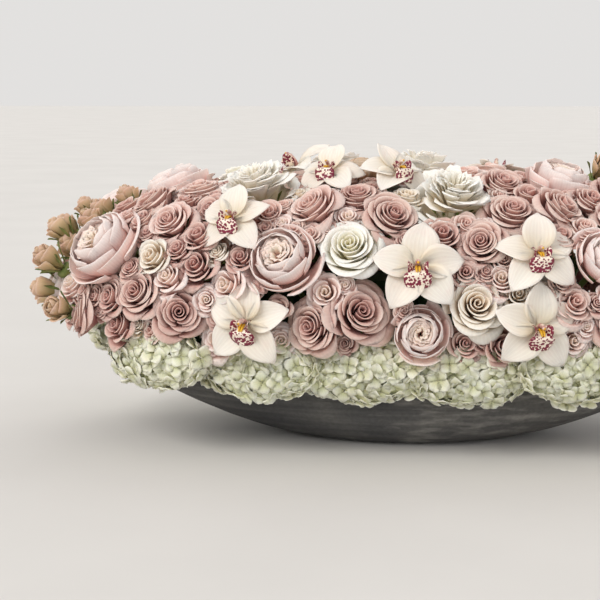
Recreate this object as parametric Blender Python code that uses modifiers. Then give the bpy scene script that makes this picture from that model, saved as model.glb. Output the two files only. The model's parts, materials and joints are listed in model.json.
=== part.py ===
"""Floral table centerpiece: a boat-shaped stone bowl, a block of floral foam and a long
mound of flowers whose stems are pushed into the foam.

Metres, +Z up. The origin is the middle of the bowl's foot, +X runs along the bowl and
-Y is the side that faces the room.
"""
import itertools
import math

import bpy
import bmesh
from mathutils import Matrix, Vector

COLLECTION_NAME = "floral_centerpiece"

# The bowl
BOWL_LENGTH = 0.650
BOWL_WIDTH = 0.236
BOWL_HEIGHT = 0.080
FOOT_LENGTH = 0.230
FOOT_WIDTH = 0.110
FLOOR_THICKNESS = 0.012
SIDE_WALL = 0.010
TIP_WALL = 0.020
RIM_ROUNDING = 0.002
PLAN_POWER = 1.85        # under 2 gives the plan its pointed ends
TIP_FLARE = 0.66         # over 0.5 straightens the keel line towards the tips
BOAT_SIDES = 32

# The foam inside it
FOAM_GAP = 0.0008
FOAM_DOME = 0.100
DOME_POWER = 2.2         # over 2 squares the dome's shoulders
FOAM_CAP = (0.45, 0.97)  # the dome's flattened top: shares of its size and of its height

# The mound of flowers: the smooth skin that the flowers' faces lie in
MOUND_LENGTH = 0.780
MOUND_WIDTH = 0.350
MOUND_WAIST = 0.160
MOUND_RISE = 0.142
MOUND_SINK = 0.098
END_POWER = 2.9          # over 2 keeps the ridge level before the ends turn down
SECTION_POWER = 2.3

# The stems
ROOT_HEIGHT = 0.105      # stems aim at this height on the foam's middle line
ROOT_PULL = 0.68         # and at this share of their flower's distance along it
PEG_LENGTH = 0.025
STEM_CLEARANCE = 0.0006
HOLE_START = 0.012       # how far above the foam's surface the cutter for a hole starts
FURTHEST_FOAM = 0.3
FOAM_STEP = 0.001        # step of the walk down a stem to the foam's surface
UNION_OVERRUN = 0.001    # how far a spray's side stems run into its main stem
STEM_SIDES = 6
FORK_HEIGHT = 0.022       # how far above the foam a spray's stem forks
BUD_FORK_HEIGHT = 0.042
SPRAY_STEM_RADIUS = 0.0038
ORCHID_LEAN = 0.045      # orchids root across the middle line, so they nod outward
FAR_SIDE = 0.03          # past this distance behind the middle line they nod the other way

HEAD_SHARE = 0.94        # firm head's width over the open flower's width
BLOOM_STEPS = 8
CROWDING = 1.02          # spacing of heads in a row over the sum of their radii
LOBED_SIDES = 15
OVAL_SIDES = 12
SETTLE_ROUNDS = 60
HEAD_GAP = 0.0030
ROW_END = 88             # degrees along the mound where the rows stop
ROW_STEP = 0.25          # degrees a flower moves at a time to find its place in a row

# Each kind's firm head as a turned outline: shares of its radius, from the face's middle
# down the outer side to the neck, with 0 at the widest place.
ROSE = [(0.0, 0.72), (0.56, 0.62), (0.96, 0.20), (0.88, -0.42), (0.34, -0.86)]
PEONY = [(0.0, 0.66), (0.58, 0.55), (0.97, 0.12), (0.84, -0.44), (0.30, -0.78)]
BUTTON = [(0.0, 0.56), (0.60, 0.48), (1.0, 0.0), (0.70, -0.46), (0.28, -0.66)]
BUD = [(0.0, 1.30), (0.40, 1.10), (0.95, 0.35), (0.82, -0.62), (0.30, -1.0)]
ORCHID = [(0.16, 0.26), (0.66, 0.20), (1.0, 0.03), (0.66, -0.13), (0.14, -0.34)]
MOPHEAD = [(0.20, 0.46), (0.68, 0.36), (1.0, 0.02), (0.66, -0.12), (0.16, -0.20)]

# kind: outline, stem radius, how far its face stands off the mound's skin, colour, roughness
KINDS = {
    "rose_mauve": (ROSE, 0.0028, 0.000, (0.52, 0.30, 0.29), 0.62),
    "rose_pink": (ROSE, 0.0026, 0.000, (0.66, 0.46, 0.43), 0.62),
    "rose_cream": (ROSE, 0.0028, 0.002, (0.80, 0.72, 0.60), 0.62),
    "rose_white": (ROSE, 0.0028, 0.004, (0.86, 0.85, 0.76), 0.60),
    "peony_blush": (PEONY, 0.0032, 0.003, (0.80, 0.62, 0.60), 0.66),
    "peony_white": (PEONY, 0.0032, 0.003, (0.84, 0.79, 0.72), 0.66),
    "ranunculus_tan": (BUTTON, 0.0024, 0.006, (0.62, 0.42, 0.29), 0.62),
    "bud_tan": (BUD, 0.0016, 0.010, (0.50, 0.31, 0.19), 0.60),
    "orchid": (ORCHID, 0.0020, 0.010, (0.80, 0.74, 0.60), 0.45),
    "hydrangea": (MOPHEAD, 0.0040, 0.014, (0.63, 0.68, 0.47), 0.70),
}
LOBED = {"orchid"}
OVAL = {"hydrangea"}
LOBES = 5
LOBE_DEPTH = 0.34
ORCHID_TUCK = 0.88       # share of an orchid's radius that neighbours keep out of
OVAL_SQUASH = 0.50       # a pressed mophead's height over its width
NEARLY_UPRIGHT = 0.95    # an axis with more rise than this has no level side of its own

# The flowers, a row at a time from the left end. A row's first two numbers are the angle
# round the mound's section (0 faces the room, 90 is the ridge, 180 the far side) and the
# angle along it where the row starts (-90 and 90 are the mound's two ends). A flower is
# its kind, its open width in millimetres, how far it sits off the row's angle and, where
# it shares a forked stem, the spray's name. A gap leaves room, in millimetres too.
ROWS = [
    (-38, -36, [("hydrangea", 112, 0), ("hydrangea", 118, 0), ("hydrangea", 122, 0),
                ("hydrangea", 120, 0), ("hydrangea", 122, 0)]),
    (-5, -64, [("rose_mauve", 56, -4, "rose_spray_01"), ("gap", 48),
               ("rose_mauve", 58, 6, "rose_spray_01"), ("orchid", 90, -4), ("gap", 52),
               ("rose_mauve", 62, 10, "rose_spray_02"), ("rose_mauve", 66, 10, "rose_spray_02"),
               ("peony_blush", 60, 0), ("gap", 26), ("rose_cream", 66, 11), ("orchid", 90, 2),
               ("rose_mauve", 60, -2, "rose_spray_07"), ("rose_mauve", 58, 8, "rose_spray_07"),
               ("peony_blush", 86, 2)]),
    (21, -77, [("peony_blush", 64, 6), ("gap", 56),
               ("rose_mauve", 56, -8, "rose_spray_01"), ("gap", 74), ("peony_blush", 78, -8),
               ("gap", 44), ("rose_white", 68, 14), ("orchid", 96, 3),
               ("rose_mauve", 52, 4, "rose_spray_05"), ("gap", 30), ("orchid", 86, 6),
               ("peony_blush", 66, -3), ("rose_mauve", 60, 2, "rose_spray_08"),
               ("orchid", 88, 6), ("peony_white", 84, 0)]),
    (43, -68, [("bud_tan", 36, 0, "bud_spray_01"), ("peony_blush", 88, 3),
               ("rose_mauve", 54, 2, "rose_spray_03"), ("gap", 26), ("orchid", 80, -14),
               ("rose_pink", 62, -2, "rose_spray_04"), ("rose_mauve", 54, 5, "rose_spray_04"),
               ("rose_mauve", 60, 6, "rose_spray_04"), ("peony_white", 80, 10),
               ("rose_mauve", 58, -2, "rose_spray_05"), ("rose_mauve", 58, 4, "rose_spray_05"),
               ("rose_mauve", 52, -2, "rose_spray_08"), ("rose_pink", 62, 0, "rose_spray_08"),
               ("peony_blush", 86, 2)]),
    (67, -60, [("bud_tan", 34, 6, "bud_spray_01"), ("gap", 20),
               ("rose_pink", 58, 0, "rose_spray_03"), ("rose_pink", 56, 6, "rose_spray_03"),
               ("peony_white", 84, -4), ("orchid", 74, 4, "orchid_spray_01"),
               ("orchid", 82, -2, "orchid_spray_01"), ("gap", 60),
               ("rose_pink", 56, 4, "rose_spray_06"), ("rose_pink", 52, 2, "rose_spray_06"),
               ("peony_blush", 78, 4), ("rose_mauve", 62, 0, "rose_spray_09"),
               ("rose_mauve", 62, 4, "rose_spray_09")]),
    (94, -58, [("bud_tan", 34, 0, "bud_spray_02"), ("bud_tan", 32, 0, "bud_spray_02"),
               ("peony_blush", 84, 6), ("rose_white", 60, -4), ("gap", 10),
               ("orchid", 88, -4, "orchid_spray_01"), ("gap", 20), ("ranunculus_tan", 60, -4),
               ("peony_white", 92, 8), ("rose_mauve", 64, 0, "rose_spray_06"),
               ("rose_cream", 66, 0, "rose_spray_09")]),
    (122, -57, [("peony_blush", 88, 0), ("rose_mauve", 62, 0, "rose_spray_10"),
                ("peony_blush", 84, 2), ("peony_white", 84, 10), ("rose_mauve", 64, -2, "rose_spray_11"),
                ("rose_mauve", 62, 2, "rose_spray_11"), ("orchid", 96, 0, "orchid_spray_02"),
                ("peony_blush", 88, 0)]),
    (154, -68, [("rose_mauve", 64, 0, "rose_spray_10"),
                ("rose_mauve", 62, 2, "rose_spray_10"), ("orchid", 96, 0),
                ("rose_mauve", 64, 2, "rose_spray_12"), ("peony_blush", 92, 0),
                ("rose_mauve", 64, 0, "rose_spray_13"), ("rose_mauve", 62, 0, "rose_spray_13"),
                ("orchid", 94, 0, "orchid_spray_02")]),
    (192, -54, [("peony_white", 84, 0), ("rose_mauve", 64, 0, "rose_spray_12"),
                ("rose_mauve", 62, 0, "rose_spray_12"), ("rose_mauve", 66, 0, "rose_spray_12"),
                ("peony_blush", 90, 0), ("rose_cream", 70, 0, "rose_spray_13"),
                ("rose_mauve", 62, 0, "rose_spray_13"), ("peony_white", 88, 0)]),
    (218, -50, [("hydrangea", 128, 0), ("hydrangea", 132, 0), ("hydrangea", 132, 0),
                ("hydrangea", 130, 0)]),
]


class Bloom:
    """One flower: its kind, its size and where it sits on the mound."""

    def __init__(self, kind, width, turn, around, spray):
        self.kind = kind
        self.radius = width / 2 * HEAD_SHARE
        self.spray = spray
        self.spot = mound_point(turn, around)
        self.axis = Vector((0, 0, 1))
        self.centre = self.spot.copy()

    def half_room(self):
        """Half of the room that the flower takes in its row."""
        return self.radius * (ORCHID_TUCK if self.kind in LOBED else 1.0)

    def reach(self, direction):
        """Radius that a neighbour in a direction keeps out of; orchids may tuck under."""
        if self.kind in OVAL:
            share = abs(direction.normalized().dot(level_side(self.axis)))
            return self.radius * (OVAL_SQUASH + (1 - OVAL_SQUASH) * share ** 2)
        return self.half_room()

    def push(self, step):
        """Slide the flower over the mound's skin; the big mopheads stay where they are."""
        if self.kind not in OVAL:
            self.spot = onto_mound(self.spot + step)

    def face(self, root):
        """Turn the flower away from the point its stem grows from."""
        outline = KINDS[self.kind][0]
        self.axis = (self.spot - root).normalized()
        proud = KINDS[self.kind][2] - outline[0][1] * self.radius
        self.centre = self.spot + self.axis * proud


def superellipse(degrees, power):
    """Unit superellipse: its cosine side and its sine side at an angle."""
    angle = math.radians(degrees)
    cosine, sine = math.cos(angle), math.sin(angle)
    return (math.copysign(abs(cosine) ** (2 / power), cosine),
            math.copysign(abs(sine) ** (2 / power), sine))


def mound_point(turn, around):
    """Point of the mound's skin at an angle along it and an angle round its section."""
    girth, along = superellipse(turn, END_POWER)
    out, up = superellipse(around, SECTION_POWER)
    drop = MOUND_RISE if up > 0 else MOUND_SINK
    return Vector((along * MOUND_LENGTH / 2, -out * girth * MOUND_WIDTH / 2,
                   MOUND_WAIST + up * girth * drop))


def onto_mound(point):
    """The point moved straight out from the mound's middle until it lies in the skin."""
    drop = MOUND_RISE if point.z > MOUND_WAIST else MOUND_SINK
    section = (abs(point.y) / (MOUND_WIDTH / 2)) ** SECTION_POWER
    section += (abs(point.z - MOUND_WAIST) / drop) ** SECTION_POWER
    size = (abs(point.x) / (MOUND_LENGTH / 2)) ** END_POWER + section ** (END_POWER / SECTION_POWER)
    scale = size ** (-1 / END_POWER)
    return Vector((point.x * scale, point.y * scale, MOUND_WAIST + (point.z - MOUND_WAIST) * scale))


def plant_row(around, start, flowers):
    """Blooms side by side along one row, each as far from the last as their widths need."""
    blooms = []
    turn = start
    room = 0
    for kind, width_mm, *rest in flowers:
        if kind == "gap":
            room = width_mm / 1000
            continue
        angle = around + rest[0]
        bloom = Bloom(kind, width_mm / 1000, turn, angle, rest[1] if len(rest) > 1 else None)
        if blooms:
            needed = (bloom.half_room() + blooms[-1].half_room()) * CROWDING + room
            room = 0
            while (bloom.spot - blooms[-1].spot).length < needed and turn < ROW_END:
                turn += ROW_STEP
                bloom.spot = mound_point(turn, angle)
        blooms.append(bloom)
    return blooms


def settle(blooms):
    """Let crowded flowers push each other along the skin until none overlap."""
    for _ in range(SETTLE_ROUNDS):
        for bloom in blooms:
            bloom.face(stem_root(bloom.kind, bloom.spot))
        for first, second in itertools.combinations(blooms, 2):
            gap = second.centre - first.centre
            overlap = first.reach(gap) + second.reach(gap) + HEAD_GAP - gap.length
            if overlap > 0:
                step = gap.normalized() * (overlap / 2)
                first.push(-step)
                second.push(step)


def stem_root(kind, spot):
    """Point on or near the foam's middle line that a flower's stem aims at."""
    lean = 0
    if kind in LOBED and spot.z > MOUND_WAIST:
        height = (spot.z - MOUND_WAIST) / MOUND_RISE
        lean = ORCHID_LEAN * height * (-1 if spot.y > FAR_SIDE else 1)
    return Vector((spot.x * ROOT_PULL, lean, ROOT_HEIGHT))


def boat_outline(half_length, half_width, height):
    """One level of the boat shape as a ring of points."""
    ring = []
    for index in range(BOAT_SIDES):
        along, across = superellipse(360 * index / BOAT_SIDES, PLAN_POWER)
        ring.append(Vector((along * half_length, across * half_width, height)))
    return ring


def boat_rings(foot, rim, base, top, levels):
    """Rings from the foot oval up the flaring side to the rim, both (half length, half width)."""
    rings = []
    for level in range(levels + 1):
        climb = math.radians(90 * level / levels)
        rise = 1 - math.cos(climb)
        half_length = foot[0] + (rim[0] - foot[0]) * rise ** TIP_FLARE
        half_width = foot[1] + (rim[1] - foot[1]) * math.sin(climb)
        rings.append(boat_outline(half_length, half_width, base + (top - base) * rise))
    return rings


def foam_surface_share(point):
    """Below 1 inside the foam's dome, above 1 outside it."""
    height = (point.z - BOWL_HEIGHT) / FOAM_DOME
    rim_length, rim_width = FOAM_RIM
    plan = (abs(point.x) / rim_length) ** PLAN_POWER + (abs(point.y) / rim_width) ** PLAN_POWER
    return plan ** (DOME_POWER / PLAN_POWER) + max(height, 0) ** DOME_POWER


def inward_distance(start, direction):
    """How far a straight line runs before it meets the foam."""
    travelled = 0.0
    while foam_surface_share(start + direction * travelled) > 1 and travelled < FURTHEST_FOAM:
        travelled += FOAM_STEP
    return travelled


FOAM_RIM = (BOWL_LENGTH / 2 - TIP_WALL - FOAM_GAP, BOWL_WIDTH / 2 - SIDE_WALL - FOAM_GAP)


def new_collection(name):
    """Collection linked to the scene."""
    collection = bpy.data.collections.new(name)
    bpy.context.scene.collection.children.link(collection)
    return collection


def new_material(name, colour, roughness):
    """Principled material of one colour."""
    material = bpy.data.materials.new(name)
    material.use_nodes = True
    shader = material.node_tree.nodes["Principled BSDF"]
    shader.inputs["Base Color"].default_value = (*colour, 1)
    shader.inputs["Roughness"].default_value = roughness
    shader.inputs["Metallic"].default_value = 0
    material.diffuse_color = (*colour, 1)
    return material


def add_object(name, mesh, material, collection, matrix=None):
    """Object in a collection, smooth shaded and of one material."""
    mesh.shade_smooth()
    if material:
        mesh.materials.append(material)
    thing = bpy.data.objects.new(name, mesh)
    thing.matrix_world = matrix or Matrix.Identity(4)
    collection.objects.link(thing)
    return thing


def hide_cutter(thing):
    """Show a cutter as wires and keep it out of renders."""
    thing.hide_render = True
    thing.display_type = "WIRE"


def loft_mesh(name, rings):
    """Closed body through rings of equal point count, capped at its first and last ring."""
    shape = bmesh.new()
    loops = [[shape.verts.new(point) for point in ring] for ring in rings]
    sides = len(rings[0])
    for lower, upper in zip(loops, loops[1:]):
        for index in range(sides):
            after = (index + 1) % sides
            shape.faces.new((lower[index], lower[after], upper[after], upper[index]))
    shape.faces.new(reversed(loops[0]))
    shape.faces.new(loops[-1])
    bmesh.ops.recalc_face_normals(shape, faces=shape.faces)
    mesh = bpy.data.meshes.new(name)
    shape.to_mesh(mesh)
    shape.free()
    return mesh


def profile_mesh(name, points):
    """Open line of points in the XZ plane, for a Screw modifier to turn."""
    mesh = bpy.data.meshes.new(name)
    mesh.from_pydata([(radius, 0, height) for radius, height in points],
                     [(index, index + 1) for index in range(len(points) - 1)], [])
    return mesh


def add_screw(thing, steps):
    """Turn an object's profile about its own Z."""
    turn = thing.modifiers.new("turn", "SCREW")
    turn.steps = steps
    turn.render_steps = steps
    turn.use_merge_vertices = True
    turn.merge_threshold = 0.0001
    turn.use_smooth_shade = True


def add_boolean(thing, operation, other):
    """Cut an object by another, or join another to it."""
    step = thing.modifiers.new(operation.lower(), "BOOLEAN")
    step.operation = operation
    step.object = other
    step.solver = "EXACT"
    return step


def facing(centre, axis):
    """Placement with local Z along an axis and local Y as level as it can be."""
    return Matrix.Translation(centre) @ axis.to_track_quat("Z", "Y").to_matrix().to_4x4()


def level_side(axis):
    """Level direction square to an axis; a nearly upright axis takes one near X."""
    upright = Vector((0, 1, 0)) if abs(axis.z) > NEARLY_UPRIGHT else Vector((0, 0, 1))
    return upright.cross(axis).normalized()


def level_facing(centre, axis):
    """Placement with local Z along an axis and local X level, for oval and lobed heads."""
    side = level_side(axis)
    over = axis.cross(side)
    turn = Matrix((side, over, axis)).transposed().to_4x4()
    return Matrix.Translation(centre) @ turn


def head_section(kind, share, angle):
    """Sideways shares of a lofted head's ring: five lobes, or a pressed oval."""
    if kind in LOBED:
        lobe = 1 - LOBE_DEPTH * share * (0.5 - 0.5 * math.cos(LOBES * angle))
        return lobe * math.sin(angle), lobe * math.cos(angle)
    squash = 1 - (1 - OVAL_SQUASH) * share
    return math.cos(angle), squash * math.sin(angle)


def lofted_bloom(name, kind, radius, stem_radius, stem_end):
    """Head and stem in one loft, from the face down to the cut end of the stem."""
    rings = []
    outline = KINDS[kind][0]
    sides = LOBED_SIDES if kind in LOBED else OVAL_SIDES
    for share, height in outline:
        ring = []
        for index in range(sides):
            angle = math.tau * index / sides
            across, over = head_section(kind, share, angle)
            ring.append(Vector((share * radius * across, share * radius * over, height * radius)))
        rings.append(ring)
    for height in (outline[-1][1] * radius - 2 * stem_radius, -stem_end):
        ring = []
        for index in range(sides):
            across, over = head_section(kind, 0, math.tau * index / sides)
            ring.append(Vector((stem_radius * across, stem_radius * over, height)))
        rings.append(ring)
    return loft_mesh(name, rings)


def turned_profile(kind, radius, stem_radius, stem_end):
    """Head and stem as one outline, from the face's middle to the stem's middle."""
    outline = KINDS[kind][0]
    points = [(share * radius, height * radius) for share, height in outline]
    points.append((stem_radius, outline[-1][1] * radius - 2 * stem_radius))
    points.append((stem_radius, -stem_end))
    points.append((0, -stem_end))
    return points


def add_bloom(name, bloom, stem_end, material, collection):
    """One flower with its head and stem as one closed body."""
    kind = bloom.kind
    stem_radius = KINDS[kind][1]
    if kind in LOBED | OVAL:
        mesh = lofted_bloom(name, kind, bloom.radius, stem_radius, stem_end)
        return add_object(name, mesh, material, collection, level_facing(bloom.centre, bloom.axis))
    profile = turned_profile(kind, bloom.radius, stem_radius, stem_end)
    mesh = profile_mesh(name, profile)
    thing = add_object(name, mesh, material, collection, facing(bloom.centre, bloom.axis))
    add_screw(thing, BLOOM_STEPS)
    return thing


def stem_hole(shape, centre, axis, near, far, radius):
    """Add to a cutter the round hole a stem makes, from one distance to another down it."""
    middle = centre - axis * (near + far) / 2
    corner = (radius + STEM_CLEARANCE) / math.cos(math.pi / STEM_SIDES)
    bmesh.ops.create_cone(shape, cap_ends=True, segments=STEM_SIDES, radius1=corner,
                          radius2=corner, depth=far - near, matrix=facing(middle, axis))


def build_bowl(collection):
    """Open boat-shaped bowl with a flat foot and an eased rim."""
    rim = (BOWL_LENGTH / 2, BOWL_WIDTH / 2)
    foot = (FOOT_LENGTH / 2, FOOT_WIDTH / 2)
    inner_rim = (rim[0] - TIP_WALL, rim[1] - SIDE_WALL)
    inner_foot = (foot[0] - SIDE_WALL, foot[1] - SIDE_WALL)
    outside = boat_rings(foot, rim, 0, BOWL_HEIGHT - RIM_ROUNDING, 8)
    inside = boat_rings(inner_foot, inner_rim, FLOOR_THICKNESS, BOWL_HEIGHT - RIM_ROUNDING, 7)
    eased = [boat_outline(rim[0] - RIM_ROUNDING, rim[1] - RIM_ROUNDING, BOWL_HEIGHT),
             boat_outline(inner_rim[0] + RIM_ROUNDING, inner_rim[1] + RIM_ROUNDING, BOWL_HEIGHT)]
    mesh = loft_mesh("bowl", outside + eased + inside[::-1])
    stone = new_material("bowl_stone", (0.062, 0.062, 0.064), 0.75)
    bowl = add_object("bowl", mesh, stone, collection)
    mesh.set_sharp_from_angle(angle=math.radians(50))
    return bowl


def build_foam(collection, holes):
    """Foam that fills the bowl and domes above it, with a hole for each stem."""
    foot = (FOOT_LENGTH / 2 - SIDE_WALL - FOAM_GAP, FOOT_WIDTH / 2 - SIDE_WALL - FOAM_GAP)
    rings = boat_rings(foot, FOAM_RIM, FLOOR_THICKNESS + FOAM_GAP, BOWL_HEIGHT, 6)
    for level in range(1, 6):
        up = level / 6
        shrink = (1 - up ** DOME_POWER) ** (1 / DOME_POWER)
        rings.append(boat_outline(FOAM_RIM[0] * shrink, FOAM_RIM[1] * shrink,
                                  BOWL_HEIGHT + FOAM_DOME * up))
    size, height = FOAM_CAP
    rings.append(boat_outline(FOAM_RIM[0] * size, FOAM_RIM[1] * size, BOWL_HEIGHT + FOAM_DOME * height))
    foam = add_object("floral_foam", loft_mesh("floral_foam", rings),
                      new_material("floral_foam", (0.06, 0.16, 0.07), 0.9), collection)
    cut = add_boolean(foam, "DIFFERENCE", holes)
    cut.use_self = True          # near the middle some of the stems' holes run together
    return foam


def build_spray(name, members, material, collection, cutters, holes):
    """Several heads on one forked stem, joined where their stems meet."""
    middle = sum((bloom.spot for bloom in members), Vector()) / len(members)
    root = stem_root(members[0].kind, middle)
    axis = (middle - root).normalized()
    rise = BUD_FORK_HEIGHT if members[0].kind == "bud_tan" else FORK_HEIGHT
    fork = middle - axis * (inward_distance(middle, -axis) - rise)
    depth = rise + PEG_LENGTH
    overrun = 2 * SPRAY_STEM_RADIUS
    stem = bpy.data.meshes.new(name)
    shape = bmesh.new()
    bmesh.ops.create_cone(shape, cap_ends=True, segments=STEM_SIDES, radius1=SPRAY_STEM_RADIUS,
                          radius2=SPRAY_STEM_RADIUS, depth=depth + overrun,
                          matrix=facing(fork - axis * (depth - overrun) / 2, axis))
    shape.to_mesh(stem)
    shape.free()
    spray = add_object(name, stem, material, collection)
    for number, bloom in enumerate(members, 1):
        bloom.face(fork)
        head = add_bloom(f"{name}_head_{number}", bloom, (bloom.centre - fork).length + UNION_OVERRUN,
                         material, cutters)
        hide_cutter(head)
        add_boolean(spray, "UNION", head)
    stem_hole(holes, fork, axis, 0, depth + STEM_CLEARANCE, SPRAY_STEM_RADIUS)


def build_flowers(collection, cutters, holes):
    """Every flower and every spray; the cutter for the foam gains a hole for each stem."""
    blooms = [bloom for row in ROWS for bloom in plant_row(*row)]
    settle(blooms)
    materials = {kind: new_material(kind, look[3], look[4]) for kind, look in KINDS.items()}
    counts = {}
    sprays = {}
    for bloom in blooms:
        if bloom.spray:
            sprays.setdefault(bloom.spray, []).append(bloom)
            continue
        bloom.face(stem_root(bloom.kind, bloom.spot))
        stem_radius = KINDS[bloom.kind][1]
        into_foam = inward_distance(bloom.centre, -bloom.axis)
        stem_end = into_foam + PEG_LENGTH
        counts[bloom.kind] = counts.get(bloom.kind, 0) + 1
        name = f"{bloom.kind}_{counts[bloom.kind]:02d}"
        add_bloom(name, bloom, stem_end, materials[bloom.kind], collection)
        stem_hole(holes, bloom.centre, bloom.axis, into_foam - HOLE_START, stem_end + STEM_CLEARANCE,
                  stem_radius)
    for name, members in sprays.items():
        build_spray(name, members, materials[members[0].kind], collection, cutters, holes)


def main():
    for thing in list(bpy.data.objects):
        bpy.data.objects.remove(thing, do_unlink=True)
    collection = new_collection(COLLECTION_NAME)
    cutters = new_collection(COLLECTION_NAME + "_cutters")
    build_bowl(collection)
    holes = bmesh.new()
    build_flowers(collection, cutters, holes)
    hole_mesh = bpy.data.meshes.new("stem_holes")
    holes.to_mesh(hole_mesh)
    holes.free()
    hole_cutter = add_object("stem_holes", hole_mesh, None, cutters)
    hide_cutter(hole_cutter)
    build_foam(collection, hole_cutter)


main()
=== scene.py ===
"""Floral table centerpiece: petals, florets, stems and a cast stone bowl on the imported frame."""
import json
import math

import bmesh
import bpy
import numpy as np
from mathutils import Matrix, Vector


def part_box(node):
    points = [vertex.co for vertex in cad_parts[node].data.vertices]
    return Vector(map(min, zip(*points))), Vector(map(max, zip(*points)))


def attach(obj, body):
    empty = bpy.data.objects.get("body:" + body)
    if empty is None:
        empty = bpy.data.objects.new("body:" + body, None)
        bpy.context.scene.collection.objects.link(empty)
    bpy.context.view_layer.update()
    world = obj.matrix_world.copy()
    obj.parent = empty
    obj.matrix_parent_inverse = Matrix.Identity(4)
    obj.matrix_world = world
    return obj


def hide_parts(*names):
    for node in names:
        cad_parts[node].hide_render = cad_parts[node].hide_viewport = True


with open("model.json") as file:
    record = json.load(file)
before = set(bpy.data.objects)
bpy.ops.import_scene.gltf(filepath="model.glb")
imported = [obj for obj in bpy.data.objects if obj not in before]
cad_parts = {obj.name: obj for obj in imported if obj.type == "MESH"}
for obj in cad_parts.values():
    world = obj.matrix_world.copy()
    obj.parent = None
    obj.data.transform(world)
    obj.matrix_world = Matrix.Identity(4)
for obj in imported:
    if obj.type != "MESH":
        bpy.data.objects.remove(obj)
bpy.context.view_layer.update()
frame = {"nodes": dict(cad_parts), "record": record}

GOLDEN = math.pi * (3 - math.sqrt(5))

# how the open flowers follow the CAD's firm heads
HEAD_SHARE = 0.94        # a CAD head's width over its flower's
OPENING = {"orchid": 1.02, "hydrangea": 1.04, "bud": 1.05}   # petals' reach over that flower's width
USUAL_OPENING = 1.13
ORCHID_SINK = 0.001      # orchids settle this far among their neighbours' petals
HYDRANGEA_LOWEST = 0.060   # no floret starts lower than this
# kind: a turned head's cap ring over its radius, and its cap's height over its radius
CAPS = {"rose": (0.56, 0.72), "peony_blush": (0.58, 0.66), "peony_white": (0.58, 0.66),
        "ranunculus": (0.60, 0.56), "bud": (0.40, 1.30)}
CAP_SIDES = 8
# kind: a lofted head's reach over its radius, and the height of its widest ring over its radius
WIDEST = {"orchid": (1.0, 0.03), "hydrangea": (1.0, 0.02)}
LOFTED_STEM = {"orchid": 0.005, "hydrangea": 0.0065}   # points this close together are a stem's

# thickness of petals, in metres
PETAL = 0.00055
ROSE_PETAL = 0.0010      # its rolled lips are thicker
PEONY_CORE = 0.0010
RAGGED_CORE = 0.0009
ORCHID_PETAL = 0.0011
ORCHID_LIP = 0.0009
FLORET_PETAL = 0.0007

# kinds of the flowers on a shared stem, from left to right, where they differ
SPRAY_KINDS = {"rose_spray_03": ["rose_mauve", "rose_pink", "rose_pink"],
               "rose_spray_04": ["rose_pink", "rose_mauve", "rose_mauve"],
               "rose_spray_06": ["rose_pink", "rose_pink", "rose_mauve"],
               "rose_spray_08": ["rose_mauve", "rose_mauve", "rose_pink"],
               "rose_spray_09": ["rose_mauve", "rose_mauve", "rose_cream"],
               "rose_spray_13": ["rose_mauve", "rose_mauve", "rose_cream", "rose_mauve"]}
SLOTS = {part["node"]: part["material_slot"] for part in frame["record"]["subparts"]}

# the mound's skin and the point that stems aim at, as in the CAD
MOUND_LENGTH, MOUND_WIDTH, MOUND_WAIST = 0.780, 0.350, 0.160
MOUND_RISE, MOUND_SINK, END_POWER, SECTION_POWER = 0.142, 0.098, 2.9, 2.3
ROOT_PULL, ROOT_HEIGHT = 0.68, 0.105

# small flowers that fill the spaces between the heads
GAP_TURNS = np.arange(-86, 86.1, 2.0)      # degrees along the mound where gaps are looked for
GAP_ROUNDS = np.arange(-16, 204, 3.0)      # degrees round its section
MOST_FILLERS = 300
LEAST_ROOM = 0.0012
FILLER_CLAIM = (0.0075, 0.0235)   # what a filler takes past its room, and at most
FILLER_GROWTH = (1.5, 0.011)      # a filler's radius over its room, and on top of that
FILLER_RADIUS = (0.014, 0.027)
FILLER_SINK = (0.0115, 0.010, 0.75)   # depth in a tight gap, room past which it stays, and change
FILLER_KINDS = ["rose_pink", "rose_mauve", "rose_mauve", "rose_cream", "rose_mauve", "peony_blush"]

# loose buds that stand out of the mound: angle along it, angle round it, radius in mm
LOOSE_BUDS = [(-81, 44, 19), (-70, 80, 17), (-72, 28, 20), (-68, 58, 17), (-78, 4, 20), (-64, -10, 18),
              (-62, 92, 15), (24, 88, 19), (47, 86, 18), (76, 44, 18), (82, 92, 17), (-78, 132, 18),
              (-70, 156, 17), (78, 140, 18), (70, 168, 17)]
BUD_STEM = 0.075

# the bowl; its length, width and height come from the frame
FOOT = (0.115, 0.055)    # half of its foot's length and width
SIDE_WALL, TIP_WALL, FLOOR = 0.010, 0.020, 0.012
RIM_EASE = 0.002
PLAN_POWER, TIP_FLARE = 1.85, 0.66
BOWL_SIDES, BOWL_LEVELS = 144, 22
CAST_WAVES, CAST_PITCH, CAST_DEPTH = 10, 60, 0.0010

# the studio
FLOOR_HALF = 30
WORLD_COLOUR = (0.765, 0.752, 0.74, 1)
# sun: direction it comes from, angle in radians, strength, colour
SUNS = {"key": ((-1.4, -1.45, 1.85), 0.55, 1.65, (1.0, 0.97, 0.93)),
        "fill": ((0.9, -2.0, 0.8), 0.9, 0.40, (0.96, 0.97, 1.0)),
        "back": ((0.6, 1.6, 1.7), 0.9, 0.35, (1.0, 0.98, 0.96))}
SUN_AIM = (0, 0, 0.15)
LENS = 86.0
SENSOR = 36
CAMERA_PLACE = (0, -1.60, 0.385)
CAMERA_TILT, CAMERA_PAN = 81.6, 4.25   # degrees


# ---------------------------------------------------------------- materials

def srgb(red, green, blue):
    """Linear colour from 0 to 255 display values."""
    return tuple(c / 12.92 if c <= 0.04045 else ((c + 0.055) / 1.055) ** 2.4
                 for c in (red / 255, green / 255, blue / 255)) + (1,)


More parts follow.
